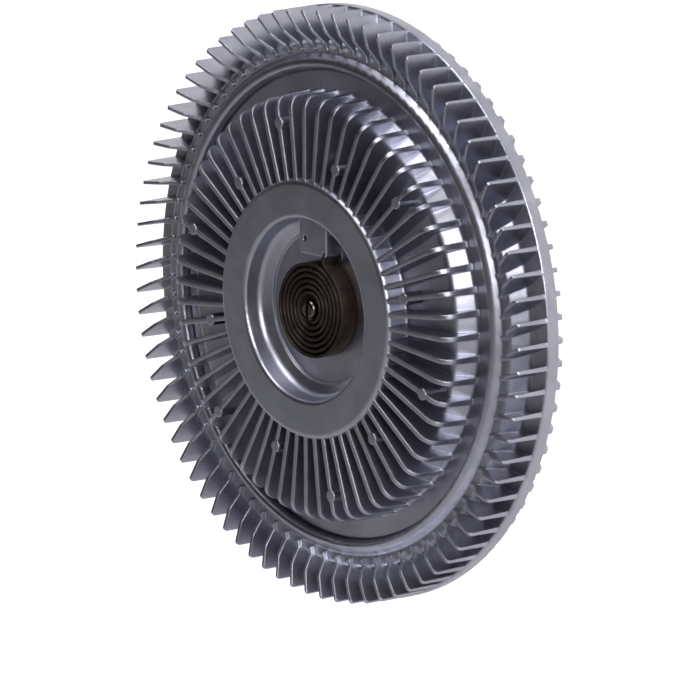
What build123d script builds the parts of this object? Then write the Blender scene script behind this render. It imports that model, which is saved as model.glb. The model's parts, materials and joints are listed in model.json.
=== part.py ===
from build123d import *
import math
import os

# Viscous fan clutch for a large diesel engine, in millimetres.
# It is drawn about the local Z axis with the front at +Z, then turned so that the
# shaft lies along Y, the front looks to -Y and +Z is up. The origin is the centre of
# the drive flange's mounting face. A depth is measured rearward from the hub's face.

# Whole clutch
OVERALL_DEPTH = 92.0        # hub face to mounting face
RIM_R = 130.0               # outside of the housing's rim
RIM_DEPTH = 24.8            # front of the rim
RIM_THICK = 6.8
RIM_CORNER = 1.2
EDGE_CORNER = 1.0           # plain turned edges of the housing

# Outer cooling fins in front of the rim
OUTER_FINS = 80
OUTER_FIN_PHASE = 0.65      # degrees, from the right hand side
OUTER_FIN_TIP_GAP = 0.6     # keeps the leaned root corner inside the rim
OUTER_FIN_HEIGHT = 16.3     # stands this far in front of the rim
OUTER_FIN_FACE = 10.2       # radial length of the front edge
OUTER_FIN_DROP = 2.1        # the front edge falls back by this towards its heel
OUTER_FIN_FOOT = 20.3       # from the tip in to the foot, beside the lip
OUTER_FIN_STEP = 16.9       # from the tip in to the low part beside the lip
OUTER_FIN_LOW = 1.7         # height of the low part over the shoulder
OUTER_FIN_EDGE = 1.3        # thickness at the front edge
OUTER_FIN_ROOT = 2.4        # thickness at the rim
OUTER_FIN_LEAN = 22.0       # degrees from radial, tips anticlockwise seen from the front
OUTER_FIN_CORNER = 1.6
OUTER_FIN_HEEL_CORNER = 1.5
OUTER_FIN_LOW_CORNER = 0.8

# Rear cooling fins behind the rim
REAR_FIN_TIP_GAP = 2.5
REAR_FIN_HEIGHT = 4.5       # at the rim
REAR_FIN_THICK = 2.2        # at the rim
REAR_FIN_CREST = 1.8        # thickness at its crest
REAR_FIN_CORNER = 3.0
REAR_FIN_REACH = 8.0        # the crest runs out this far past the rear wall
REAR_FIN_BELOW = 1.0        # the crest stays this far below the rear face

# Front cover
HUB_R = 56.4
HUB_CORNER = 2.4
WELL_R = 40.0
WELL_CORNER = 1.8
WELL_DRAFT = 1.0
WELL_FOOT_R = 4.0           # between the well's side and its slope
FLOOR_CORNER = 0.4
WELL_WALL = 8.0             # straight part of the well's side
WELL_DEPTH = 12.0
WELL_FLOOR_R = 33.2
WELL_STEP = 1.1             # the floor lies this far below its surrounding slope
CAST_WALL = 4.0
CHANNEL_DEPTH = 10.5        # bottom of the channels between the fins
CHANNEL_RUNOUT = 6.5        # the channels start to fall this far inside the fins' ends
CHANNEL_CORNER = 1.5        # channel's bottom to the hub
CHANNEL_END_R = 4.0
RING_DEPTH = 19.0           # smooth ring outside the fins
RING_R = 102.4
RING_CORNER = 0.6
CLAMP_STEP = 1.5            # the clamped edge lies this far below the ring
CLAMP_WIDTH = 3.1
COVER_RIM_THICK = 4.0
SPIGOT_HEIGHT = 3.5
SPIGOT_INSET = 9.05         # spigot's outside, in from the cover's edge
LAND_WIDTH = 8.4
CORE_R = 2.0                # corners of the space behind the cover
CORE_FOOT_R = 1.0
CORE_DRAFT = 1.5
HUB_DRAFT = 0.8
CORE_STEP = 0.5             # extra wall round the well

# Fins of the front cover
COVER_FINS = 60
COVER_FIN_PHASE = 0.3
COVER_FIN_FRONT = 1.0       # front edge, behind the hub's face
COVER_FIN_SLOPE = 1.0       # the end edge leans out by this towards its foot
COVER_FIN_END_R = 93.8
COVER_FIN_CORNER = 6.5
COVER_FIN_EDGE = 1.9
COVER_FIN_ROOT = 3.0

# Round ejector pads on the fins
PAD_R = 2.6
PAD_OUTER_CIRCLE = 81.2
PAD_INNER_CIRCLE = 66.8
PAD_PHASE = 102.3           # degrees, both on a fin's centre line
PADS_EACH = 6
PAD_RISE = 0.15
PAD_ROUND = 0.4

# Rolled lip that holds the cover, and the shoulder outside it
LIP_OVERHANG = 2.5
LIP_WIDTH = 6.4             # to the groove outside it
LIP_HEIGHT = 4.4            # above the cover's ring
LIP_EDGE = 2.2              # rounding of its inner edge
LIP_CORNER = 0.8
LIP_FLANK = 2.6             # the outer flank's width
LIP_FLANK_R = 3.2
LIP_FOOT_DEPTH = 17.9       # the groove outside the lip
SHOULDER_DEPTH = 17.3
SHOULDER_WIDTH = 5.0        # from the groove to the shoulder's crest
SHOULDER_R = 2.2
SLOPE_WIDTH = 6.1           # from the shoulder's crest to the rim
SLOPE_R = 3.0
FIT = 0.05                  # radial clearance of a located diameter

# Sealing ring under the cover
COVER_RING_SECTION_R = 1.1
COVER_RING_R = 99.9         # mean radius
GROOVE_WIDTH = 3.0
SEAL_CLEARANCE = 0.01       # round a seal in its groove

# Divider plate, its rivets, ports and wipers
PLATE_THICK = 1.5
PLATE_INSET = 2.0           # from the spigot's outside
RIVETS = 6
RIVET_R = 1.6
RIVET_HEAD_R = 3.0
RIVET_HEAD_HEIGHT = 0.8
RIVET_LENGTH = 4.0
RIVET_END_GAP = 0.2
RIVET_HEAD_GAP = 0.3        # head to the housing's step
PORT_CIRCLE = 46.0
PORT_R = 4.0
SCAVENGE_R = 1.6
SCAVENGE_CIRCLE = 82.0
SCAVENGE_TURN = 60.0        # degrees on from the ports
WIPER_LONG = 8.0
WIPER_WIDE = 4.0
WIPER_HEIGHT = 0.9
WIPER_GAP = 0.5             # from the scavenge hole

# Rotor and the matching ridges of the housing
ROTOR_FRONT_GAP = 1.5
ROTOR_WEB = 4.5
ROTOR_TIP_GAP = 2.0
RIDGE_HEIGHT = 6.0
RIDGE_THICK = 2.5
RIDGE_PITCH = 7.0
RIDGE_FIRST_R = 52.0
ROTOR_RIDGES = 6
RIDGE_END_GAP = 1.0
ROTOR_HUB_R = 28.0
ROTOR_HUB_CORNER = 0.8
ROTOR_CORNER = 0.6
ROTOR_HOLES = 6
ROTOR_HOLE_R = 3.0
ROTOR_HOLE_CIRCLE = 40.0

# Housing behind the rotor
HOUSING_WALL = 6.0
CHAMBER_GAP = 1.5           # chamber is this much smaller in radius than its spigot bore
CHAMBER_CORNER = 2.0
REAR_WALL_R = 99.0
REAR_WALL_SLOPE = 12.0      # the rear wall widens by this towards the rim
REAR_WALL_CORNER = 3.0
REAR_SLOPE_R = 5.0
BEARING_SET = 7.0           # chamber floor to the front of the bearing
BOSS_WALL = 8.0
BOSS_TAIL = 2.2             # behind the retaining ring
BOSS_FOOT_R = 3.5
BOSS_MOUTH = 0.6
SHOULDER_STEP = 3.0

# Fan mounting
FAN_BOLTS = 6
FAN_CIRCLE_R = 82.5
FAN_BOSS_R = 9.0
FAN_BOSS_HEIGHT = 9.0
FAN_HOLE_R = 3.4            # drilled for an M8 thread
FAN_HOLE_DEPTH = 12.0

# Filler hole and its plug
PLUG_CIRCLE = 66.0
PLUG_ANGLE = 60.0
PLUG_R = 4.0
PLUG_LENGTH = 3.5
PLUG_SOCKET_R = 1.6
PLUG_SOCKET_DEPTH = 2.1
FILLER_HOLE_R = 1.8

# Ball bearing
BEARING_BORE_R = 15.0
BEARING_R = 36.0
BEARING_WIDTH = 19.0
BEARING_CORNER = 0.5
BALLS = 9
BALL_R = 5.5
BALL_CIRCLE_SHIFT = 0.25    # out from the middle of the bearing's section
RACE_CLEARANCE = 0.05
LAND_ABOVE_RACE = 1.7       # ring shoulder above the bottom of its groove
CAGE_THICK = 2.6
CAGE_WIDTH = 13.4
CAGE_CORNER = 0.4
POCKET_CLEARANCE = 0.15
SHIELD_THICK = 1.3
SHIELD_INSET = 0.7
SHIELD_GAP = 0.3
SHIELD_LIP = 1.0

# Retaining ring behind the bearing
SNAP_THICK = 1.75
SNAP_WIDTH = 4.0
SNAP_GROOVE = 1.8
SNAP_CLEARANCE = 0.2
SNAP_GAP_ANGLE = 16.0

# Drive shaft
NOSE_R = 10.0
NOSE_CORNER = 1.0
NOSE_PROUD = 0.4            # in front of the nut
ROTOR_SEAT_R = 12.5
NOSE_END_GAP = 2.2          # from the divider plate
SHAFT_SHOULDER_R = 20.0
SHAFT_CONE = 5.0            # the shaft widens by this at the flange
SHAFT_CONE_LENGTH = 3.0
FLANGE_R = 43.0             # passes through the fan's 88 mm bore
FLANGE_THICK = 8.0
FLANGE_CORNER = 1.5
FLANGE_FACE_CORNER = 0.8
PILOT_R = 15.0
PILOT_DEPTH = 6.0
DRIVE_BOLTS = 4
DRIVE_CIRCLE_R = 35.0
DRIVE_HOLE_R = 4.25

# Nut and washer that hold the rotor
NUT_ACROSS_FLATS = 30.0
NUT_THICK = 4.2
WASHER_THICK = 1.2
WASHER_R = 17.5
COUNTERBORE_R = 19.5

# Valve shaft, arm, seal and clip
VALVE_SHAFT_R = 4.0
VALVE_SHAFT_FRONT = 2.4
VALVE_SHAFT_ROUND = 1.6
VALVE_BOSS_R = 9.0
VALVE_BOSS_END = 23.0
VALVE_BORE_CLEARANCE = 0.05
VALVE_NECK_R = 3.0
NECK_CLEARANCE = 0.02
CLIP_THICK = 0.7
CLIP_R = 6.5
CLIP_PLAY = 0.05            # each side of the clip in its groove
CLIP_GAP = 0.1              # boss to the clip's groove
CLIP_MOUTH = 0.85           # mouth as a share of the neck
ARM_THICK = 1.0
ARM_WIDTH = 9.0
ARM_HUB_R = 6.75
ARM_PAD_R = 6.5
ARM_GAP = 0.9               # arm's rear face to the divider plate
ARM_ANGLE = 20.0
HEAD_HEIGHT = 0.5
HEAD_ROUND = 0.3
SHAFT_RING_R = 0.66
SHAFT_RING_DEPTH = 18.2
SHAFT_RING_PLAY = 0.1

# Bimetal coil
COIL_FRONT = 3.6
COIL_WIDTH = 8.3
COIL_R = 22.6
COIL_PITCH = 2.5
COIL_STRIP = 1.15
COIL_INNER_R = 5.9
COIL_END_ANGLE = 69.0       # where the outer end leaves, from the right
COIL_TAIL = 4.2             # length held in the lug
COIL_TANG = 2.4             # length past the shaft's middle
SLOT_CLEARANCE = 0.15
SPIRAL_POINTS = 12          # in each turn

# Lug that holds the coil's outer end
LUG_LEFT = -6.0
LUG_RIGHT = 12.0
LUG_BOTTOM = 24.0
LUG_FRONT = 3.0
LUG_SINK = 1.5              # into the well's side
LUG_CORNER = 1.5
LUG_BEVEL = 0.5
LUG_HOLE_R = 1.2
LUG_HOLE_X = -2.1
LUG_HOLE_Z = 30.9
LUG_HOLE_DEPTH = 3.0
POCKET_WIDTH = 8.0
POCKET_HEIGHT = 11.0
POCKET_GAP = 0.2            # from the lug
POCKET_DROP = 2.0           # below the lug's lower edge
POCKET_FRONT = 5.0
POCKET_SINK = 2.5           # below the well's floor

SINK = 1.0                  # how far a cutter runs past a face, or a fin into its wall

# Worked out from the values above
clamp_depth = RING_DEPTH + CLAMP_STEP
cover_r = RING_R + CLAMP_WIDTH
cover_back = RING_DEPTH + COVER_RIM_THICK
plate_front = cover_back + SPIGOT_HEIGHT
plate_back = plate_front + PLATE_THICK
spigot_r = cover_r - SPIGOT_INSET
rivet_circle = spigot_r - LAND_WIDTH / 2
plate_r = spigot_r - PLATE_INSET
ceiling = CHANNEL_DEPTH + CAST_WALL
rotor_front = plate_back + ROTOR_FRONT_GAP
ridge_foot = rotor_front + ROTOR_WEB
ridge_tip = ridge_foot + RIDGE_HEIGHT
chamber_floor = ridge_tip + RIDGE_END_GAP
chamber_step = plate_back + RIVET_HEAD_HEIGHT + RIVET_HEAD_GAP
bore_r = cover_r + FIT
chamber_r = spigot_r + FIT - CHAMBER_GAP
rotor_r = chamber_r - ROTOR_TIP_GAP
rear_face = chamber_floor + HOUSING_WALL
rim_back = RIM_DEPTH + RIM_THICK
rim_middle = RIM_DEPTH + RIM_THICK / 2
bearing_front = chamber_floor + BEARING_SET
bearing_back = bearing_front + BEARING_WIDTH
bearing_middle = (bearing_front + bearing_back) / 2
snap_back = bearing_back + SNAP_THICK
boss_back = snap_back + BOSS_TAIL
boss_r = BEARING_R + BOSS_WALL
flange_front = OVERALL_DEPTH - FLANGE_THICK
nose_front = plate_back + NOSE_END_GAP
nut_seat = nose_front + NOSE_PROUD + NUT_THICK + WASHER_THICK
ball_circle = (BEARING_BORE_R + BEARING_R) / 2 + BALL_CIRCLE_SHIFT
inner_land_r = ball_circle - BALL_R + LAND_ABOVE_RACE
outer_land_r = ball_circle + BALL_R - LAND_ABOVE_RACE
arm_back = plate_front - ARM_GAP
arm_front = arm_back - ARM_THICK
lip_front = RING_DEPTH - LIP_HEIGHT
lip_inner = cover_r - LIP_OVERHANG
lip_foot = lip_inner + LIP_WIDTH
shoulder_r = lip_foot + SHOULDER_WIDTH
tip_r = RIM_R - OUTER_FIN_TIP_GAP
coil_back = COIL_FRONT + COIL_WIDTH
slot_width = COIL_STRIP + 2 * SLOT_CLEARANCE
slot_back = coil_back + SLOT_CLEARANCE


def z_at(depth):
    return OVERALL_DEPTH - depth


def outline(points):
    """A closed face in the XZ plane from (radius, depth, corner radius) points."""
    path = [(p[0], z_at(p[1])) for p in points]
    corners = [p[2] if len(p) > 2 else 0 for p in points]
    return Plane.XZ * make_face(FilletPolyline(*path, radius=corners, close=True))


def turned(points):
    """A solid of revolution from (radius, depth, corner radius) points."""
    return revolve(outline(points), Axis.Z)


def disc(radius, front, back, x=0, y=0):
    """A cylinder between two depths."""
    place = Pos(x, y, z_at(back))
    return place * Cylinder(radius, back - front, align=(Align.CENTER, Align.CENTER, Align.MIN))


def block(width, height, front, back, x=0, y=0):
    """A box between two depths, centred on x and y."""
    place = Pos(x, y, z_at(back))
    return place * Box(width, height, back - front, align=(Align.CENTER, Align.CENTER, Align.MIN))


def on_circle(radius, angle):
    turn = math.radians(angle)
    return radius * math.cos(turn), radius * math.sin(turn)


def around(solid, count, phase=0):
    return [Rot(0, 0, phase + i * 360 / count) * solid for i in range(count)]


def plate_fin(points, edge, root, edge_depth, root_depth):
    """A flat fin in the XZ plane whose thickness grows from its edge to its root."""
    blade = extrude(outline(points), root, both=True)
    wedge = [
        (-edge / 2, z_at(edge_depth)),
        (edge / 2, z_at(edge_depth)),
        (root / 2, z_at(root_depth)),
        (-root / 2, z_at(root_depth)),
    ]
    draft = extrude(Plane.YZ * make_face(Polyline(*wedge, close=True)), 2 * RIM_R)
    return blade & draft


def ridge_points(first, count, foot, tip):
    points = []
    for i in range(count):
        middle = first + i * RIDGE_PITCH
        inner = middle - RIDGE_THICK / 2
        outer = middle + RIDGE_THICK / 2
        points += [(inner, foot), (inner, tip), (outer, tip), (outer, foot)]
    return points


def outer_fin():
    heel_r = tip_r - OUTER_FIN_FACE
    front = RIM_DEPTH - OUTER_FIN_HEIGHT
    heel = front + OUTER_FIN_DROP
    foot_r = tip_r - OUTER_FIN_FOOT
    low = SHOULDER_DEPTH - OUTER_FIN_LOW
    points = [
        (tip_r, front, OUTER_FIN_CORNER),
        (tip_r, rim_middle),
        (foot_r, rim_middle),
        (foot_r, low, OUTER_FIN_LOW_CORNER),
        (tip_r - OUTER_FIN_STEP, low, OUTER_FIN_HEEL_CORNER),
        (heel_r, heel, OUTER_FIN_HEEL_CORNER),
    ]
    fin = plate_fin(points, OUTER_FIN_EDGE, OUTER_FIN_ROOT, front, rim_middle)
    return Pos(tip_r, 0, 0) * Rot(0, 0, OUTER_FIN_LEAN) * Pos(-tip_r, 0, 0) * fin


def rear_fin():
    tip = RIM_R - REAR_FIN_TIP_GAP
    crest = rear_face - REAR_FIN_BELOW
    inner = REAR_WALL_R - 2 * SINK
    reach = REAR_WALL_R + REAR_FIN_REACH
    points = [
        (tip, rim_middle),
        (tip, rim_back + REAR_FIN_HEIGHT, REAR_FIN_CORNER),
        (reach, crest, REAR_FIN_CORNER),
        (inner, crest),
        (inner, rear_face - HOUSING_WALL / 2),
        (reach, rim_middle),
    ]
    return plate_fin(points, REAR_FIN_THICK, REAR_FIN_CREST, RIM_DEPTH, rear_face + SINK)


def fan_bosses():
    x, y = on_circle(FAN_CIRCLE_R, 0)
    boss = disc(FAN_BOSS_R, rear_face - SINK, rear_face + FAN_BOSS_HEIGHT, x, y)
    return around(boss, FAN_BOLTS)


def fan_holes():
    mouth = rear_face + FAN_BOSS_HEIGHT
    x, y = on_circle(FAN_CIRCLE_R, 0)
    return around(disc(FAN_HOLE_R, mouth - FAN_HOLE_DEPTH, mouth, x, y), FAN_BOLTS)


def plug_place():
    return on_circle(PLUG_CIRCLE, PLUG_ANGLE)


def rear_housing():
    first = RIDGE_FIRST_R + RIDGE_PITCH / 2
    ridges = ridge_points(first, ROTOR_RIDGES - 1, chamber_floor, ridge_foot + RIDGE_END_GAP)
    stop_r = BEARING_R - SHOULDER_STEP
    groove_r = BEARING_R + SNAP_GROOVE
    points = [
        (lip_inner, clamp_depth),
        (lip_inner, lip_front, LIP_EDGE),
        (lip_foot - LIP_FLANK, lip_front, LIP_FLANK_R),
        (lip_foot, LIP_FOOT_DEPTH, LIP_CORNER),
        (shoulder_r, SHOULDER_DEPTH, SHOULDER_R),
        (shoulder_r + SLOPE_WIDTH, RIM_DEPTH, SLOPE_R),
        (RIM_R, RIM_DEPTH, RIM_CORNER),
        (RIM_R, rim_back, RIM_CORNER),
        (REAR_WALL_R + REAR_WALL_SLOPE, rim_back, REAR_SLOPE_R),
        (REAR_WALL_R, rear_face, REAR_WALL_CORNER),
        (boss_r, rear_face, BOSS_FOOT_R),
        (boss_r, boss_back, EDGE_CORNER),
        (BEARING_R, boss_back, BOSS_MOUTH),
        (BEARING_R, snap_back),
        (groove_r, snap_back),
        (groove_r, bearing_back),
        (BEARING_R, bearing_back),
        (BEARING_R, bearing_front),
        (stop_r, bearing_front),
        (stop_r, chamber_floor, EDGE_CORNER),
        *ridges,
        (chamber_r, chamber_floor, CHAMBER_CORNER),
        (chamber_r, chamber_step),
        (spigot_r + FIT, chamber_step),
        (spigot_r + FIT, cover_back),
        (bore_r, cover_back),
        (bore_r, clamp_depth),
    ]
    body = turned(points)
    lean_fins = around(outer_fin(), OUTER_FINS, OUTER_FIN_PHASE)
    back_fins = around(rear_fin(), OUTER_FINS, OUTER_FIN_PHASE)
    body = body.fuse(*lean_fins, *back_fins, *fan_bosses())
    x, y = plug_place()
    seat = rear_face - PLUG_LENGTH
    drilled = [
        *fan_holes(),
        disc(PLUG_R + FIT, seat, rear_face + SINK, x, y),
        disc(FILLER_HOLE_R, chamber_floor - SINK, seat, x, y),
    ]
    return body.cut(*drilled)


def cover_fin():
    sunk = CHANNEL_DEPTH + CAST_WALL / 2
    root_depth = RING_DEPTH + SINK
    root_r = HUB_R - HUB_CORNER - SINK / 2
    points = [
        (root_r, COVER_FIN_FRONT),
        (COVER_FIN_END_R - COVER_FIN_SLOPE, COVER_FIN_FRONT, COVER_FIN_CORNER),
        (COVER_FIN_END_R, RING_DEPTH - SINK / 2, SINK),
        (COVER_FIN_END_R + COVER_FIN_SLOPE, root_depth),
        (COVER_FIN_END_R - 2 * SINK, root_depth),
        (COVER_FIN_END_R - CHANNEL_RUNOUT, sunk),
        (root_r, sunk),
    ]
    return plate_fin(points, COVER_FIN_EDGE, COVER_FIN_ROOT, COVER_FIN_FRONT, root_depth)


def ejector_pads():
    pads = []
    for circle, phase in ((PAD_OUTER_CIRCLE, 0), (PAD_INNER_CIRCLE, 180 / PADS_EACH)):
        x, y = on_circle(circle, 0)
        pad = disc(PAD_R, COVER_FIN_FRONT - PAD_RISE, CHANNEL_DEPTH + CAST_WALL / 2, x, y)
        pad = fillet(pad.edges().group_by(Axis.Z)[-1], PAD_ROUND)
        pads += around(pad, PADS_EACH, PAD_PHASE + phase)
    return pads


def coil_lug():
    """Block at the top of the well that grips the coil's outer end."""
    middle = (LUG_LEFT + LUG_RIGHT) / 2
    top = math.sqrt(WELL_R**2 - LUG_RIGHT**2) + LUG_SINK
    height = top - LUG_BOTTOM
    lug = block(LUG_RIGHT - LUG_LEFT, height, LUG_FRONT, WELL_DEPTH + SINK, middle, LUG_BOTTOM + height / 2)
    lug = fillet(lug.edges().filter_by(Axis.Z).group_by(Axis.Y)[0], LUG_CORNER)
    return chamfer(lug.faces().sort_by(Axis.Z)[-1].edges(), LUG_BEVEL)


def tail_slot():
    """Slot in the lug for the tail of the coil."""
    foot = COIL_R - COIL_STRIP
    length = LUG_BOTTOM - foot + COIL_TAIL + SLOT_CLEARANCE
    slot = block(length, slot_width, LUG_FRONT - SINK, slot_back, foot + length / 2, -COIL_STRIP / 2)
    return Rot(0, 0, COIL_END_ANGLE) * slot


def front_cover():
    groove_in = COVER_RING_R - GROOVE_WIDTH / 2
    groove_out = COVER_RING_R + GROOVE_WIDTH / 2
    groove_top = cover_back - 2 * (COVER_RING_SECTION_R + SEAL_CLEARANCE)
    land_r = spigot_r - LAND_WIDTH
    floor_back = WELL_DEPTH + CAST_WALL + CORE_STEP
    core_in = WELL_R + CAST_WALL + CORE_STEP
    core_out = HUB_R - CAST_WALL
    bore = VALVE_SHAFT_R + VALVE_BORE_CLEARANCE
    slope_top = WELL_DEPTH - WELL_STEP
    points = [
        (bore, WELL_DEPTH),
        (WELL_FLOOR_R, WELL_DEPTH, FLOOR_CORNER),
        (WELL_FLOOR_R + CORE_STEP, slope_top, CORE_STEP),
        (WELL_R - WELL_DRAFT, WELL_WALL, WELL_FOOT_R),
        (WELL_R, 0, WELL_CORNER),
        (HUB_R, 0, HUB_CORNER),
        (HUB_R + HUB_DRAFT, CHANNEL_DEPTH, CHANNEL_CORNER),
        (COVER_FIN_END_R - CHANNEL_RUNOUT, CHANNEL_DEPTH, CHANNEL_END_R),
        (COVER_FIN_END_R - SINK, RING_DEPTH, CORE_R),
        (RING_R, RING_DEPTH, RING_CORNER),
        (RING_R, clamp_depth),
        (cover_r, clamp_depth),
        (cover_r, cover_back),
        (groove_out, cover_back),
        (groove_out, groove_top),
        (groove_in, groove_top),
        (groove_in, cover_back),
        (spigot_r, cover_back),
        (spigot_r, plate_front),
        (land_r, plate_front),
        (land_r - CORE_DRAFT, ceiling, CORE_R),
        (core_out + CORE_FOOT_R, ceiling, CORE_FOOT_R),
        (core_out, CAST_WALL, CORE_R),
        (core_in, CAST_WALL, CORE_R),
        (core_in - CORE_STEP, floor_back, CORE_FOOT_R),
        (VALVE_BOSS_R + CORE_STEP, floor_back, CORE_FOOT_R),
        (VALVE_BOSS_R, VALVE_BOSS_END),
        (bore, VALVE_BOSS_END),
    ]
    cover = turned(points)
    cover = cover.fuse(*around(cover_fin(), COVER_FINS, COVER_FIN_PHASE), *ejector_pads(), coil_lug())
    pocket_x = LUG_RIGHT + POCKET_WIDTH / 2 + POCKET_GAP
    pocket_y = LUG_BOTTOM - POCKET_DROP + POCKET_HEIGHT / 2
    x, y = on_circle(rivet_circle, 0)
    rivet_hole = disc(RIVET_R + FIT, plate_front - RIVET_LENGTH, plate_front + SINK, x, y)
    cuts = [
        block(POCKET_WIDTH, POCKET_HEIGHT, POCKET_FRONT, WELL_DEPTH + POCKET_SINK, pocket_x, pocket_y),
        disc(LUG_HOLE_R, LUG_FRONT - SINK, LUG_FRONT + LUG_HOLE_DEPTH, LUG_HOLE_X, LUG_HOLE_Z),
        tail_slot(),
        *around(rivet_hole, RIVETS),
    ]
    return cover.cut(*cuts)


def cover_seal_ring():
    middle = z_at(cover_back - COVER_RING_SECTION_R - SEAL_CLEARANCE)
    return Pos(0, 0, middle) * Torus(COVER_RING_R, COVER_RING_SECTION_R)


def plate_hole(radius, circle):
    """A drill through the divider plate."""
    x, y = on_circle(circle, 0)
    return disc(radius, plate_front - SINK, plate_back + SINK, x, y)


def divider_plate():
    plate = disc(plate_r, plate_front, plate_back)
    ports = around(plate_hole(PORT_R, PORT_CIRCLE), 2, ARM_ANGLE)
    scavenge = around(plate_hole(SCAVENGE_R, SCAVENGE_CIRCLE), 2, ARM_ANGLE + SCAVENGE_TURN)
    rivet_holes = around(plate_hole(RIVET_R + FIT, rivet_circle), RIVETS)
    return plate.cut(*ports, *scavenge, *rivet_holes)


def divider_plate_rivets():
    x, y = on_circle(rivet_circle, 0)
    shank = disc(RIVET_R, plate_front - RIVET_LENGTH + RIVET_END_GAP, plate_back, x, y)
    head = disc(RIVET_HEAD_R, plate_back, plate_back + RIVET_HEAD_HEIGHT, x, y)
    return around(shank + head, RIVETS)


def scavenge_wipers():
    x, y = on_circle(SCAVENGE_CIRCLE, 0)
    offset = SCAVENGE_R + WIPER_WIDE / 2 + WIPER_GAP
    wiper = block(WIPER_LONG, WIPER_WIDE, plate_back, plate_back + WIPER_HEIGHT, x, y + offset)
    return around(wiper, 2, ARM_ANGLE + SCAVENGE_TURN)


def rotor():
    ridges = ridge_points(RIDGE_FIRST_R, ROTOR_RIDGES, ridge_foot, ridge_tip)
    points = [
        (ROTOR_SEAT_R + FIT, nut_seat),
        (ROTOR_SEAT_R + FIT, bearing_front),
        (ROTOR_HUB_R, bearing_front, ROTOR_HUB_CORNER),
        (ROTOR_HUB_R, ridge_foot, CHAMBER_CORNER),
        *ridges,
        (rotor_r, ridge_foot),
        (rotor_r, rotor_front, ROTOR_CORNER),
        (COUNTERBORE_R, rotor_front),
        (COUNTERBORE_R, nut_seat),
    ]
    body = turned(points)
    x, y = on_circle(ROTOR_HOLE_CIRCLE, 0)
    hole = disc(ROTOR_HOLE_R, rotor_front - SINK, ridge_foot + SINK, x, y)
    return body.cut(*around(hole, ROTOR_HOLES))


def rotor_washer():
    ring = disc(WASHER_R, nut_seat - WASHER_THICK, nut_seat)
    return ring - disc(NOSE_R + FIT, nut_seat - WASHER_THICK - SINK, nut_seat + SINK)


def rotor_nut():
    back = nut_seat - WASHER_THICK
    hexagon = RegularPolygon(NUT_ACROSS_FLATS / 2, 6, major_radius=False)
    nut = Pos(0, 0, z_at(back)) * extrude(hexagon, NUT_THICK)
    return nut - disc(NOSE_R + FIT, back - NUT_THICK - SINK, back + SINK)


def drive_shaft():
    points = [
        (0, nose_front),
        (NOSE_R, nose_front, NOSE_CORNER),
        (NOSE_R, nut_seat),
        (ROTOR_SEAT_R, nut_seat),
        (ROTOR_SEAT_R, bearing_front),
        (BEARING_BORE_R, bearing_front),
        (BEARING_BORE_R, bearing_back),
        (SHAFT_SHOULDER_R, bearing_back, BEARING_CORNER),
        (SHAFT_SHOULDER_R, flange_front - SHAFT_CONE_LENGTH, CHAMBER_CORNER),
        (SHAFT_SHOULDER_R + SHAFT_CONE, flange_front, CHAMBER_CORNER),
        (FLANGE_R, flange_front, FLANGE_CORNER),
        (FLANGE_R, OVERALL_DEPTH, FLANGE_FACE_CORNER),
        (PILOT_R, OVERALL_DEPTH),
        (PILOT_R, OVERALL_DEPTH - PILOT_DEPTH),
        (0, OVERALL_DEPTH - PILOT_DEPTH),
    ]
    shaft = turned(points)
    x, y = on_circle(DRIVE_CIRCLE_R, 0)
    hole = disc(DRIVE_HOLE_R, flange_front - SINK, OVERALL_DEPTH + SINK, x, y)
    return shaft.cut(*around(hole, DRIVE_BOLTS, 180 / DRIVE_BOLTS))


def race_groove():
    """Torus in which the balls run, larger than a ball by the clearance."""
    return Pos(0, 0, z_at(bearing_middle)) * Torus(ball_circle, BALL_R + RACE_CLEARANCE)


def bearing_inner_ring():
    bore = BEARING_BORE_R + FIT
    ring = turned([
        (bore, bearing_front, BEARING_CORNER),
        (inner_land_r, bearing_front, CAGE_CORNER),
        (inner_land_r, bearing_back, CAGE_CORNER),
        (bore, bearing_back, BEARING_CORNER),
    ])
    return ring - race_groove()


def bearing_outer_ring():
    seat = outer_land_r + SHIELD_LIP
    front = bearing_front + SHIELD_INSET + SHIELD_THICK
    back = bearing_back - SHIELD_INSET - SHIELD_THICK
    ring = turned([
        (BEARING_R - FIT, bearing_front, BEARING_CORNER),
        (seat, bearing_front),
        (seat, front),
        (outer_land_r, front),
        (outer_land_r, back),
        (seat, back),
        (seat, bearing_back),
        (BEARING_R - FIT, bearing_back, BEARING_CORNER),
    ])
    return ring - race_groove()


def bearing_seal(front):
    inner = inner_land_r + SHIELD_GAP
    outer = outer_land_r + SHIELD_LIP - FIT
    back = front + SHIELD_THICK
    return turned([(inner, front), (outer, front), (outer, back), (inner, back)])


def bearing_balls():
    ball = Pos(ball_circle, 0, z_at(bearing_middle)) * Sphere(BALL_R)
    return around(ball, BALLS)


def bearing_cage():
    inner = ball_circle - CAGE_THICK / 2
    outer = ball_circle + CAGE_THICK / 2
    front = bearing_middle - CAGE_WIDTH / 2
    back = bearing_middle + CAGE_WIDTH / 2
    corners = [(inner, front), (outer, front), (outer, back), (inner, back)]
    ring = turned([(r, depth, CAGE_CORNER) for r, depth in corners])
    drill = Cylinder(BALL_R + POCKET_CLEARANCE, 4 * CAGE_THICK)
    pocket = Pos(ball_circle, 0, z_at(bearing_middle)) * Rot(0, 90, 0) * drill
    return ring.cut(*around(pocket, BALLS))


def bearing_retaining_ring():
    outer = BEARING_R + SNAP_GROOVE - SNAP_CLEARANCE
    inner = outer - SNAP_WIDTH
    ring = disc(outer, bearing_back, snap_back) - disc(inner, bearing_back - SINK, snap_back + SINK)
    half = math.tan(math.radians(SNAP_GAP_ANGLE / 2)) * outer
    gap = block(2 * half, outer, bearing_back - SINK, snap_back + SINK, 0, -outer)
    return ring - gap


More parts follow.
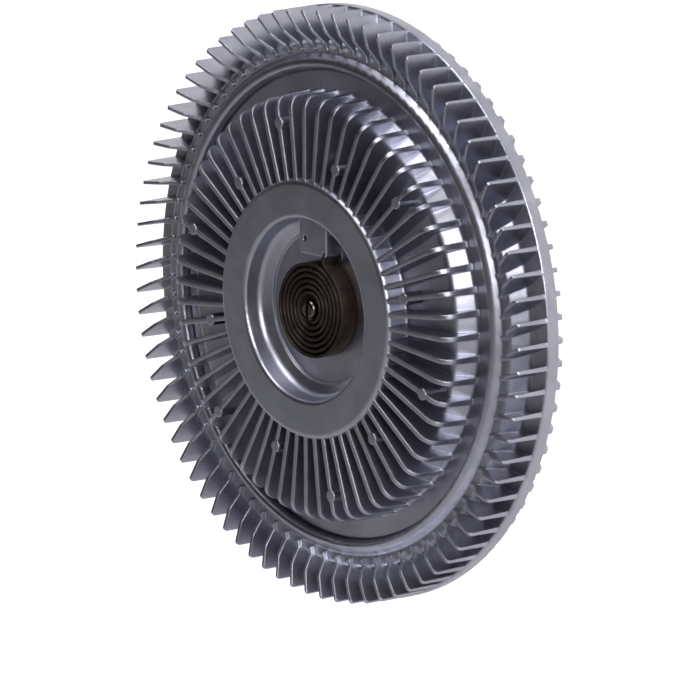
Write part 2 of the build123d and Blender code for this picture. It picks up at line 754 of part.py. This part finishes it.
def filler_plug():
    x, y = plug_place()
    plug = disc(PLUG_R, rear_face - PLUG_LENGTH, rear_face, x, y)
    hexagon = RegularPolygon(PLUG_SOCKET_R, 6)
    socket = Pos(x, y, z_at(rear_face) - SINK) * extrude(hexagon, PLUG_SOCKET_DEPTH + SINK)
    return plug - socket


def valve_shaft():
    groove_half = SHAFT_RING_R + SHAFT_RING_PLAY
    groove_r = VALVE_SHAFT_R - 2 * SHAFT_RING_R - FIT
    clip_front = VALVE_BOSS_END + CLIP_GAP
    clip_back = clip_front + CLIP_THICK + 2 * CLIP_PLAY
    points = [
        (0, VALVE_SHAFT_FRONT),
        (VALVE_SHAFT_R, VALVE_SHAFT_FRONT, VALVE_SHAFT_ROUND),
        (VALVE_SHAFT_R, SHAFT_RING_DEPTH - groove_half),
        (groove_r, SHAFT_RING_DEPTH - groove_half),
        (groove_r, SHAFT_RING_DEPTH + groove_half),
        (VALVE_SHAFT_R, SHAFT_RING_DEPTH + groove_half),
        (VALVE_SHAFT_R, clip_front),
        (VALVE_NECK_R, clip_front),
        (VALVE_NECK_R, clip_back),
        (VALVE_SHAFT_R, clip_back),
        (VALVE_SHAFT_R, arm_front),
        (VALVE_NECK_R, arm_front),
        (VALVE_NECK_R, arm_back),
        (VALVE_SHAFT_R, arm_back),
        (VALVE_SHAFT_R, arm_back + HEAD_HEIGHT, HEAD_ROUND),
        (0, arm_back + HEAD_HEIGHT),
    ]
    slot = block(3 * VALVE_SHAFT_R, slot_width, VALVE_SHAFT_FRONT - SINK, slot_back)
    return turned(points) - slot


def valve_shaft_seal():
    mean = VALVE_SHAFT_R - SHAFT_RING_R - SEAL_CLEARANCE
    return Pos(0, 0, z_at(SHAFT_RING_DEPTH)) * Torus(mean, SHAFT_RING_R)


def valve_shaft_clip():
    front = VALVE_BOSS_END + CLIP_GAP + CLIP_PLAY
    back = front + CLIP_THICK
    ring = disc(CLIP_R, front, back) - disc(VALVE_NECK_R + NECK_CLEARANCE, front - SINK, back + SINK)
    mouth = block(2 * VALVE_NECK_R * CLIP_MOUTH, CLIP_R, front - SINK, back + SINK, 0, -CLIP_R / 2 - SINK / 2)
    return ring - mouth


def valve_arm():
    bar = block(2 * PORT_CIRCLE, ARM_WIDTH, arm_front, arm_back)
    x, y = on_circle(PORT_CIRCLE, 0)
    pads = around(disc(ARM_PAD_R, arm_front, arm_back, x, y), 2)
    arm = bar.fuse(disc(ARM_HUB_R, arm_front, arm_back), *pads)
    arm = arm - disc(VALVE_NECK_R + NECK_CLEARANCE, arm_front - SINK, arm_back + SINK)
    return Rot(0, 0, ARM_ANGLE) * arm


def spiral_edge(offset, turns, start):
    """Smooth spiral at a distance either side of the strip's middle line."""
    steps = int(turns * SPIRAL_POINTS) + 1
    points = []
    for i in range(steps + 1):
        share = turns * i / steps
        radius = COIL_INNER_R + COIL_PITCH * share + offset
        points.append(on_circle(radius, start + share * 360))
    return Spline(*points)


def bimetal_coil():
    """The wound strip, and the angle at which its tang enters the shaft."""
    half = COIL_STRIP / 2
    turns = (COIL_R - half - COIL_INNER_R) / COIL_PITCH
    start = COIL_END_ANGLE - turns * 360
    inside = spiral_edge(-half, turns, start)
    outside = spiral_edge(half, turns, start)
    face = make_face([inside, Line(inside @ 1, outside @ 1), outside, Line(inside @ 0, outside @ 0)])
    strip = Pos(0, 0, z_at(coil_back)) * extrude(face, COIL_WIDTH)
    tail_length = LUG_BOTTOM - COIL_R + COIL_TAIL
    tail = block(tail_length, COIL_STRIP, COIL_FRONT, coil_back, COIL_R - half + tail_length / 2, -half)
    tang_length = COIL_INNER_R + COIL_TANG
    tang_middle = COIL_INNER_R + half - tang_length / 2
    tang = block(tang_length, COIL_STRIP, COIL_FRONT, coil_back, tang_middle, 0)
    return strip.fuse(Rot(0, 0, COIL_END_ANGLE) * tail, Rot(0, 0, start) * tang), start


coil, tang_angle = bimetal_coil()

nodes = {
    "drive_shaft": drive_shaft(),
    "rotor": rotor(),
    "rotor_washer": rotor_washer(),
    "rotor_nut": rotor_nut(),
    "bearing_inner_ring": bearing_inner_ring(),
    "rear_housing": rear_housing(),
    "front_cover": front_cover(),
    "cover_seal_ring": cover_seal_ring(),
    "divider_plate": divider_plate(),
    "divider_plate_rivets": divider_plate_rivets(),
    "scavenge_wipers": scavenge_wipers(),
    "bearing_outer_ring": bearing_outer_ring(),
    "bearing_front_seal": bearing_seal(bearing_front + SHIELD_INSET),
    "bearing_rear_seal": bearing_seal(bearing_back - SHIELD_INSET - SHIELD_THICK),
    "bearing_retaining_ring": bearing_retaining_ring(),
    "filler_plug": filler_plug(),
    "valve_shaft": Rot(0, 0, tang_angle) * valve_shaft(),
    "valve_shaft_seal": valve_shaft_seal(),
    "valve_shaft_clip": valve_shaft_clip(),
    "valve_arm": valve_arm(),
    "bimetal_coil": coil,
    "bearing_balls": bearing_balls(),
    "bearing_cage": bearing_cage(),
}

os.makedirs("parts", exist_ok=True)
for name, shape in nodes.items():
    solids = shape if isinstance(shape, list) else shape.solids()
    whole = Compound(children=[Rot(90, 0, 0) * s for s in solids])
    if len(solids) == 1:
        whole = Rot(90, 0, 0) * solids[0]
    export_step(whole, f"parts/{name}.step")
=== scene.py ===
import json
import math

import bmesh
import bpy
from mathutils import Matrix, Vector
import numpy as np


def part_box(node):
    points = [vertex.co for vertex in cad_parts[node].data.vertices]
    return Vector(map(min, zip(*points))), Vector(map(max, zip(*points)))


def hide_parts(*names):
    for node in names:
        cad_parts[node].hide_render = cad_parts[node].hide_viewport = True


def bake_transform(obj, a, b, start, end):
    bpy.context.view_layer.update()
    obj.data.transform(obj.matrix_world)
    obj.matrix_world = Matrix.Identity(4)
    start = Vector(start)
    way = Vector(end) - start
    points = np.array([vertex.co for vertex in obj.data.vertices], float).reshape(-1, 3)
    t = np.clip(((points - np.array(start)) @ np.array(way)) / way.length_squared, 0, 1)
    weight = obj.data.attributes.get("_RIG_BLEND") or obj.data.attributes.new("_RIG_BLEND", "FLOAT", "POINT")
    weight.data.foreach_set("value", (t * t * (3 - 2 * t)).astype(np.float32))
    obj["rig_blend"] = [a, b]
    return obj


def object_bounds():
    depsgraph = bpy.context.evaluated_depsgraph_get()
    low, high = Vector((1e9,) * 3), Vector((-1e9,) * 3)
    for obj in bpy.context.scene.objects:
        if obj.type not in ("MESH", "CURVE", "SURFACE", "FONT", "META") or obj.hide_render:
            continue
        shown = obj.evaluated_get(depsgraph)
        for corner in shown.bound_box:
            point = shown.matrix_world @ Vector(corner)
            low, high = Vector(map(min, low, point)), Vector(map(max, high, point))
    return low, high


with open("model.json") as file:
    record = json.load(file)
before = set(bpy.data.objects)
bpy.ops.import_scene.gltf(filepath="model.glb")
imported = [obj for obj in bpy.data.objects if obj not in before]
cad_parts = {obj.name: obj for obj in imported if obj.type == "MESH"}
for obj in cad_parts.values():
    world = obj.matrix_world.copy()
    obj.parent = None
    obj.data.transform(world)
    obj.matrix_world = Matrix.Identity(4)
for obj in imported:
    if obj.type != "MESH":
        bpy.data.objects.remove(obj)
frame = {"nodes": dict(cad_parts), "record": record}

cad_low, cad_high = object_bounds()

MM = 0.001

# Coil, in millimetres and degrees
COIL_INNER_R = 5.9
COIL_OUTER_R = 22.025
COIL_PITCH = 2.5
COIL_STRIP = 1.15
COIL_END_ANGLE = 69.0
COIL_BEND_R = 1.3
COIL_TAIL_END_R = 27.6
COIL_TANG_END_R = -1.8
COIL_STEP_ANGLE = 10.0
COIL_TURNS = (COIL_OUTER_R - COIL_INNER_R) / COIL_PITCH
COIL_FIRST_ANGLE = COIL_END_ANGLE - COIL_TURNS * 360
COIL_EDGE = 0.22
COIL_EDGE_ANGLE = 50.0

# Finishes, with sizes and radii in millimetres
CAST_EDGE = 0.9
CAST_EDGE_SAMPLES = 6
CAST_ROUGHNESS = (0.29, 0.44)
CLOUD_SIZE = 22.0
PATCH_SIZE = 7.0
GRAIN_SIZE = 0.9
RING_PITCH = 0.9
COVER_RINGS = (94.8, 102.0)
HOUSING_RINGS = (103.5, 109.0)
WAVE_RINGS = 20             # a wave texture of scale 1 has this many rings in a unit
BAND_SOFT = 0.3
TURNED_STAIN_SIZE = 9.0
PLAIN_STAIN_SIZE = 5.0
STRIP_STAIN_SIZE = 6.0
STREAK_SIZE = 0.8
PIT_SIZE = 0.5

# Sockets of a colour mix, by number because its float, vector and colour sockets share their names
MIX_SHARE = 0
MIX_FIRST = 6
MIX_SECOND = 7
MIX_COLOUR = 2

# Camera, found from the fin tips and the rim in the photograph, with lengths in metres
VIEW_AZIMUTH = 50.452
VIEW_ELEVATION = 11.036
VIEW_DISTANCE = 2.365
AIM_RIGHT = 0.02036
AIM_UP = -0.0172
FRAME_PIXELS = 700
FOCAL_PIXELS = 5491
SENSOR_MM = 36.0

# Studio, in metres. A soft box has its place to the right, up and toward the camera from the
# hub, then its width and its power in watts.
FLOOR_DROP = 0.16
FLOOR_HALF = 14.0
FLOOR_DIM_Y = -0.7          # in front of this place the floor doesn't glow in reflections
FLOOR_BRIGHT_Y = 0.35       # and behind this one it glows fully
FLOOR_GLOW = 0.62
SKY_DARK_Y = -0.35
SKY_BRIGHT_Y = 0.75
DARK_SIDE = 0.02
SOFT_BOXES = {
    "camera_side_box": ((0.75, 0.55, 2.55), 1.5, 48.0),
    "top_front_box": ((-0.55, 1.75, 0.95), 1.3, 24.0),
}

hub_centre = Vector((0, cad_low.y, 0))


def linear(code):
    """Shader colour of an sRGB hex value."""
    channels = [int(code[i:i + 2], 16) / 255 for i in (1, 3, 5)]
    bent = [c / 12.92 if c <= 0.04045 else ((c + 0.055) / 1.055) ** 2.4 for c in channels]
    return (*bent, 1.0)


def add_node(tree, kind, values=None, links=None, **settings):
    """Adds a node, sets its properties and input values, and links its inputs."""
    node = tree.nodes.new(kind)
    for name, value in settings.items():
        setattr(node, name, value)
    for name, value in (values or {}).items():
        node.inputs[name].default_value = value
    for name, socket in (links or {}).items():
        tree.links.new(socket, node.inputs[name])
    return node


def new_material(name):
    """An empty material with its shader, its output and object coordinates."""
    material = bpy.data.materials.new(name)
    material.use_nodes = True
    tree = material.node_tree
    tree.nodes.clear()
    shader = add_node(tree, "ShaderNodeBsdfPrincipled")
    add_node(tree, "ShaderNodeOutputMaterial", links={"Surface": shader.outputs["BSDF"]})
    place = add_node(tree, "ShaderNodeTexCoord").outputs["Object"]
    return material, tree, shader, place


def noise(tree, place, size, **values):
    """Cloudy 0 to 1 pattern with patches of about this size in millimetres."""
    values["Scale"] = 1 / (size * MM)
    return add_node(tree, "ShaderNodeTexNoise", values, {"Vector": place}).outputs["Fac"]


def lathe_rings(tree, place, pitch, values):
    """Fine rings round the shaft's axis, a pitch in millimetres apart, as a 0 to 1 value."""
    values["Scale"] = 1 / (pitch * MM) / WAVE_RINGS
    wave = add_node(tree, "ShaderNodeTexWave", values, {"Vector": place},
                    wave_type="RINGS", rings_direction="Y")
    return wave.outputs["Fac"]


def combined(tree, operation, first, second):
    """The product or the larger of two values."""
    node = add_node(tree, "ShaderNodeMath", {}, {0: first, 1: second}, operation=operation)
    return node.outputs["Value"]


def emboss(tree, shader, height, strength, depth):
    """Presses a pattern into the surface, with its depth in millimetres."""
    bump = add_node(tree, "ShaderNodeBump", {"Strength": strength, "Distance": depth * MM},
                    {"Height": height})
    tree.links.new(bump.outputs["Normal"], shader.inputs["Normal"])


def spread(tree, source, low, high):
    """Turns a 0 to 1 value into one between low and high."""
    ranged = add_node(tree, "ShaderNodeMapRange", {"To Min": low, "To Max": high}, {"Value": source})
    return ranged.outputs["Result"]


def tinted(tree, source, *stops):
    """Colour ramp with (place, hex) stops over a value."""
    ramp = add_node(tree, "ShaderNodeValToRGB", links={"Fac": source})
    elements = ramp.color_ramp.elements
    while len(elements) < len(stops):
        elements.new(0.5)
    for element, (where, code) in zip(elements, stops):
        element.position = where
        element.color = linear(code)
    return ramp.outputs["Color"]


def band(tree, place, inner, outer):
    """1 between two radii round the shaft's axis and 0 elsewhere, with soft ends."""
    flat = add_node(tree, "ShaderNodeVectorMath", {1: (1, 0, 1)}, {0: place}, operation="MULTIPLY")
    radius = add_node(tree, "ShaderNodeVectorMath", {}, {0: flat.outputs["Vector"]}, operation="LENGTH")
    rise = add_node(tree, "ShaderNodeMapRange",
                    {"From Min": (inner - BAND_SOFT) * MM, "From Max": (inner + BAND_SOFT) * MM},
                    {"Value": radius.outputs["Value"]}).outputs["Result"]
    fall = add_node(tree, "ShaderNodeMapRange",
                    {"From Min": (outer - BAND_SOFT) * MM, "From Max": (outer + BAND_SOFT) * MM,
                     "To Min": 1.0, "To Max": 0.0},
                    {"Value": radius.outputs["Value"]}).outputs["Result"]
    return combined(tree, "MULTIPLY", rise, fall)


def cast_aluminium(name, bright, mid, dark, ringed):
    """Die-cast aluminium as it leaves the mould: satin skin, flow clouds, fine grain, soft edges.

    Between two radii it keeps the fine rings that were cut into the mould on a lathe.
    """
    material, tree, shader, place = new_material(name)
    clouds = noise(tree, place, CLOUD_SIZE, Detail=5.0, Roughness=0.62, Distortion=0.6)
    colour = tinted(tree, clouds, (0.3, dark), (0.52, mid), (0.75, bright))
    tree.links.new(colour, shader.inputs["Base Color"])
    shader.inputs["Metallic"].default_value = 1.0
    patches = noise(tree, place, PATCH_SIZE, Detail=4.0, Roughness=0.7)
    tree.links.new(spread(tree, patches, *CAST_ROUGHNESS), shader.inputs["Roughness"])
    grain = noise(tree, place, GRAIN_SIZE, Detail=3.0, Roughness=0.6)
    edges = add_node(tree, "ShaderNodeBevel", {"Radius": CAST_EDGE * MM}, samples=CAST_EDGE_SAMPLES)
    skin = add_node(tree, "ShaderNodeBump", {"Strength": 0.35, "Distance": 0.06 * MM},
                    {"Height": grain, "Normal": edges.outputs["Normal"]})
    rings = lathe_rings(tree, place, RING_PITCH, {"Distortion": 0.3})
    lines = combined(tree, "MULTIPLY", rings, band(tree, place, *ringed))
    cut = add_node(tree, "ShaderNodeBump", {"Strength": 0.3, "Distance": 0.05 * MM},
                   {"Height": lines, "Normal": skin.outputs["Normal"]})
    tree.links.new(cut.outputs["Normal"], shader.inputs["Normal"])
    return material


def turned_metal(name, colour, shade, low, high, pitch):
    """Metal cut on a lathe: fine rings round the shaft's axis, drawn as coarse as they show."""
    material, tree, shader, place = new_material(name)
    rings = lathe_rings(tree, place, pitch, {"Distortion": 1.2, "Detail": 2.0, "Detail Scale": 1.5})
    stain = noise(tree, place, TURNED_STAIN_SIZE, Detail=4.0)
    tree.links.new(tinted(tree, stain, (0.3, shade), (0.7, colour)), shader.inputs["Base Color"])
    shader.inputs["Metallic"].default_value = 1.0
    tree.links.new(spread(tree, rings, low, high), shader.inputs["Roughness"])
    emboss(tree, shader, rings, 0.3, 0.03)
    return material


def plain_metal(name, colour, shade, low, high, grit):
    """Metal with a fine even finish: plated, phosphated, rolled or ground."""
    material, tree, shader, place = new_material(name)
    stain = noise(tree, place, PLAIN_STAIN_SIZE, Detail=5.0, Roughness=0.65)
    tree.links.new(tinted(tree, stain, (0.32, shade), (0.68, colour)), shader.inputs["Base Color"])
    shader.inputs["Metallic"].default_value = 1.0
    speck = noise(tree, place, grit, Detail=3.0)
    tree.links.new(spread(tree, speck, low, high), shader.inputs["Roughness"])
    emboss(tree, shader, speck, 0.25, 0.02)
    return material


def blackened_strip():
    """Bimetal strip, blued and oiled: brown oxide on its flats, near black on its cut edges."""
    material, tree, shader, place = new_material("blackened_bimetal_strip")
    facing = add_node(tree, "ShaderNodeNewGeometry").outputs["Normal"]
    along = add_node(tree, "ShaderNodeSeparateXYZ", links={"Vector": facing}).outputs["Y"]
    edge = add_node(tree, "ShaderNodeMath", {}, {0: along}, operation="ABSOLUTE").outputs["Value"]
    stain = noise(tree, place, STRIP_STAIN_SIZE, Detail=4.0)
    flats = tinted(tree, stain, (0.3, "#4c3f35"), (0.7, "#6c5c50"))
    cut = tinted(tree, stain, (0.3, "#2b2725"), (0.7, "#3f3b38"))
    colour = add_node(tree, "ShaderNodeMix", {}, {MIX_SHARE: edge, MIX_FIRST: flats, MIX_SECOND: cut},
                      data_type="RGBA")
    tree.links.new(colour.outputs[MIX_COLOUR], shader.inputs["Base Color"])
    shader.inputs["Metallic"].default_value = 0.85
    streaks = noise(tree, place, STREAK_SIZE, Detail=3.0)
    tree.links.new(spread(tree, streaks, 0.36, 0.52), shader.inputs["Roughness"])
    emboss(tree, shader, streaks, 0.25, 0.02)
    return material


def moulded_rubber():
    """Nitrile rubber, moulded: near black, matt, with the fine pits of the mould."""
    material, tree, shader, place = new_material("moulded_nitrile_rubber")
    pits = noise(tree, place, PIT_SIZE, Detail=2.0)
    tree.links.new(tinted(tree, pits, (0.3, "#101012"), (0.8, "#1c1c1f")), shader.inputs["Base Color"])
    tree.links.new(spread(tree, pits, 0.5, 0.7), shader.inputs["Roughness"])
    shader.inputs["IOR"].default_value = 1.52
    emboss(tree, shader, pits, 0.3, 0.03)
    return material


materials = {
    "cast_housing": cast_aluminium("die_cast_aluminium_housing",
                                   "#c0c0cd", "#b2b2bf", "#a3a3b0", HOUSING_RINGS),
    "cast_cover": cast_aluminium("die_cast_aluminium_cover",
                                 "#bcbcca", "#aeaebb", "#9f9fac", COVER_RINGS),
    "machined_rotor": turned_metal("machined_aluminium", "#c3c5ca", "#b2b4ba", 0.22, 0.38, 0.8),
    "turned_steel": turned_metal("turned_steel", "#aeaeac", "#9a9a99", 0.2, 0.36, 0.7),
    "fastener_steel": plain_metal("zinc_plated_steel", "#b7b5aa", "#9fa09a", 0.26, 0.42, 1.2),
    "bearing_steel": plain_metal("ground_bearing_steel", "#cbccd0", "#bcbdc1", 0.08, 0.16, 0.4),
    "spring_steel": plain_metal("phosphated_spring_steel", "#4b4a4a", "#3a3a3b", 0.42, 0.6, 0.6),
    "sheet_steel": plain_metal("cold_rolled_sheet_steel", "#b0b2b6", "#9fa1a6", 0.24, 0.4, 1.6),
    "bimetal": blackened_strip(),
    "seal_rubber": moulded_rubber(),
    "cage_brass": turned_metal("machined_brass", "#c39a55", "#ad8544", 0.2, 0.34, 0.9),
}
oiled_steel = plain_metal("turned_and_oiled_steel", "#75726d", "#4d4b49", 0.16, 0.3, 0.7)


def finish_nodes():
    """Every solid takes its slot's finish from the record, but the valve shaft is oiled steel."""
    for entry in frame["record"]["subparts"]:
        mesh = frame["nodes"][entry["node"]].data
        mesh.materials.clear()
        mesh.materials.append(materials[entry["material_slot"]])
    valve_shaft = frame["nodes"]["valve_shaft"].data
    valve_shaft.materials.clear()
    valve_shaft.materials.append(oiled_steel)


def spiral_stations():
    """Middle line of the coil as (place, heading in degrees) from the tang to the tail."""
    steps = round(COIL_TURNS * 360 / COIL_STEP_ANGLE)
    stations = []
    for i in range(steps + 1):
        share = i / steps
        angle = math.radians(COIL_FIRST_ANGLE + share * COIL_TURNS * 360)
        radius = COIL_INNER_R + share * (COIL_OUTER_R - COIL_INNER_R)
        growth = math.degrees(math.atan2(COIL_PITCH / (2 * math.pi), radius))
        place = Vector((radius * math.cos(angle), 0, radius * math.sin(angle)))
        stations.append((place, math.degrees(angle) + 90 - growth))
    return stations


def coil_path():
    """The spiral with its bent tang at the inner end and its bent tail at the outer end.

    The bends take the place of its first two stations and of its last one.
    """
    first = math.radians(COIL_FIRST_ANGLE)
    inward = Vector((math.cos(first), 0, math.sin(first)))
    end = math.radians(COIL_END_ANGLE)
    outward = Vector((math.cos(end), 0, math.sin(end)))
    tang_foot = inward * (COIL_INNER_R - COIL_BEND_R)
    tang = [(inward * COIL_TANG_END_R, COIL_FIRST_ANGLE), (tang_foot, COIL_FIRST_ANGLE)]
    tail_foot = outward * (COIL_OUTER_R + COIL_BEND_R)
    tail = [(tail_foot, COIL_END_ANGLE), (outward * COIL_TAIL_END_R, COIL_END_ANGLE)]
    return tang + spiral_stations()[2:-1] + tail


def deselect():
    for item in bpy.context.selected_objects:
        item.select_set(False)


def start_edit():
    bpy.ops.object.mode_set(mode="EDIT")
    bpy.ops.mesh.select_mode(type="FACE")
    bpy.ops.mesh.select_all(action="SELECT")


def bimetal_strip():
    """Flat strip wound into a spiral. It twists between the cover's lug and the valve shaft."""
    low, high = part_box("bimetal_coil")
    middle = (low.y + high.y) / 2
    path = coil_path()
    deselect()
    bpy.ops.mesh.primitive_plane_add(size=1)
    strip = bpy.context.object
    strip.name = "bimetal_strip"
    place, heading = path[0]
    strip.scale = (COIL_STRIP * MM, high.y - low.y, 1)
    bpy.ops.object.transform_apply(location=False, rotation=False, scale=True)
    start_edit()
    mesh = bmesh.from_edit_mesh(strip.data)
    for vert in mesh.verts:
        across = vert.co.x / MM
        turn = math.radians(heading)
        side = Vector((-math.sin(turn) * across, 0, math.cos(turn) * across))
        vert.co = side * MM + place * MM + Vector((0, middle + vert.co.y, 0))
    bmesh.update_edit_mesh(strip.data)
    for new_place, new_heading in path[1:]:
        step = (new_place - place) * MM
        bpy.ops.mesh.extrude_region_move(TRANSFORM_OT_translate={"value": step})
        turn = (new_heading - heading + 180) % 360 - 180
        pivot = new_place * MM + Vector((0, middle, 0))
        bpy.ops.transform.rotate(value=math.radians(turn), orient_axis="Y", center_override=pivot)
        place, heading = new_place, new_heading
    bpy.ops.mesh.select_all(action="SELECT")
    bpy.ops.mesh.normals_make_consistent(inside=False)
    bpy.ops.object.mode_set(mode="OBJECT")
    rounding = strip.modifiers.new("rolled_edges", "BEVEL")
    rounding.width = COIL_EDGE * MM
    rounding.segments = 2
    rounding.limit_method = "ANGLE"
    rounding.angle_limit = math.radians(COIL_EDGE_ANGLE)
    bpy.ops.object.modifier_apply(modifier=rounding.name)
    bpy.ops.object.shade_smooth_by_angle(angle=math.radians(COIL_EDGE_ANGLE))
    return strip


def wind_with_valve(strip):
    """Lets the strip twist evenly along its length, from its fixed tail to its turning tang."""
    first = COIL_END_ANGLE / 360 - COIL_TURNS
    weights = strip.data.attributes["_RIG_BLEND"].data
    for vert, weight in zip(strip.data.vertices, weights):
        radius = math.hypot(vert.co.x, vert.co.z) / MM
        part_turn = (math.atan2(vert.co.z, vert.co.x) / (2 * math.pi) - first) % 1
        whole_turns = round((radius - COIL_INNER_R) / COIL_PITCH - part_turn)
        wound = (whole_turns + part_turn) / COIL_TURNS
        if radius < COIL_INNER_R - COIL_STRIP:
            wound = 0
        if radius > COIL_OUTER_R + COIL_STRIP:
            wound = 1
        weight.value = 1 - min(max(wound, 0), 1)


def glowing(tree, level):
    """Full strength to the camera and this level in reflections."""
    seen = add_node(tree, "ShaderNodeLightPath").outputs["Is Camera Ray"]
    return combined(tree, "MAXIMUM", level, seen)


def studio_sky():
    """White behind the clutch and dark in front of it in reflections, white to the camera."""
    world = bpy.data.worlds.new("studio")
    bpy.context.scene.world = world
    world.use_nodes = True
    tree = world.node_tree
    tree.nodes.clear()
    aim = add_node(tree, "ShaderNodeTexCoord").outputs["Generated"]
    parts = add_node(tree, "ShaderNodeSeparateXYZ", links={"Vector": aim})
    level = add_node(tree, "ShaderNodeMapRange",
                     {"From Min": SKY_DARK_Y, "From Max": SKY_BRIGHT_Y, "To Min": DARK_SIDE, "To Max": 1.0},
                     {"Value": parts.outputs["Y"]}, interpolation_type="SMOOTHSTEP").outputs["Result"]
    sky = add_node(tree, "ShaderNodeBackground", {"Color": linear("#ffffff")},
                   {"Strength": glowing(tree, level)})
    add_node(tree, "ShaderNodeOutputWorld", links={"Surface": sky.outputs["Background"]})


def studio_floor():
    """Pale floor that glows like a lamp: white to the camera, and in reflections from not at all in front to
    fully behind.
    """
    deselect()
    bpy.ops.mesh.primitive_plane_add(size=2 * FLOOR_HALF, location=(0, 0, cad_low.z - FLOOR_DROP))
    floor = bpy.context.object
    floor.name = "studio_floor"
    glowing_paper, tree, shader, place = new_material("pale_glowing_floor")
    shader.inputs["Base Color"].default_value = linear("#8c8c8c")
    shader.inputs["Roughness"].default_value = 0.8
    shader.inputs["Emission Color"].default_value = linear("#ffffff")
    # painted glow: the floor gives off light graded from front to back, and full strength to the camera
    along = add_node(tree, "ShaderNodeSeparateXYZ", links={"Vector": place}).outputs["Y"]
    glow = add_node(tree, "ShaderNodeMapRange",
                    {"From Min": FLOOR_DIM_Y, "From Max": FLOOR_BRIGHT_Y,
                     "To Min": 0.0, "To Max": FLOOR_GLOW},
                    {"Value": along}).outputs["Result"]
    tree.links.new(glowing(tree, glow), shader.inputs["Emission Strength"])
    floor.data.materials.append(glowing_paper)


def view_axes():
    """Directions to the right, up and toward the camera, as the photograph sees them."""
    a, e = math.radians(VIEW_AZIMUTH), math.radians(VIEW_ELEVATION)
    back = Vector((math.sin(a) * math.cos(e), -math.cos(a) * math.cos(e), math.sin(e)))
    right = Vector((math.cos(a), math.sin(a), 0))
    return right, back.cross(right), back


def photo_camera(right, up, back):
    """The camera of the photograph, which aims a little beside the hub."""
    target = hub_centre + right * AIM_RIGHT + up * AIM_UP
    data = bpy.data.cameras.new("camera")
    camera = bpy.data.objects.new("camera", data)
    bpy.context.scene.collection.objects.link(camera)
    camera.location = hub_centre + back * VIEW_DISTANCE
    camera.rotation_mode = "QUATERNION"
    camera.rotation_quaternion = (target - camera.location).to_track_quat("-Z", "Y")
    data.sensor_width = SENSOR_MM
    data.lens = FOCAL_PIXELS * SENSOR_MM / FRAME_PIXELS
    data.clip_start = 0.1
    data.clip_end = 100.0
    bpy.context.scene.camera = camera


def soft_boxes(right, up, back):
    """Large lamps that face the hub."""
    for name, (shift, size, power) in SOFT_BOXES.items():
        offset = right * shift[0] + up * shift[1] + back * shift[2]
        lamp = bpy.data.lights.new(name, "AREA")
        lamp.size = size
        lamp.energy = power
        item = bpy.data.objects.new(name, lamp)
        bpy.context.scene.collection.objects.link(item)
        item.location = hub_centre + offset
        item.rotation_mode = "QUATERNION"
        item.rotation_quaternion = (-offset).to_track_quat("-Z", "Y")


finish_nodes()

strip = bimetal_strip()
strip.data.materials.append(materials["bimetal"])
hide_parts("bimetal_coil")
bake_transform(strip, "housing", "valve", start=(COIL_OUTER_R * MM, 0, 0), end=(COIL_INNER_R * MM, 0, 0))
wind_with_valve(strip)

studio_sky()
studio_floor()
axes = view_axes()
photo_camera(*axes)
soft_boxes(*axes)
bpy.context.scene.view_settings.view_transform = "Standard"
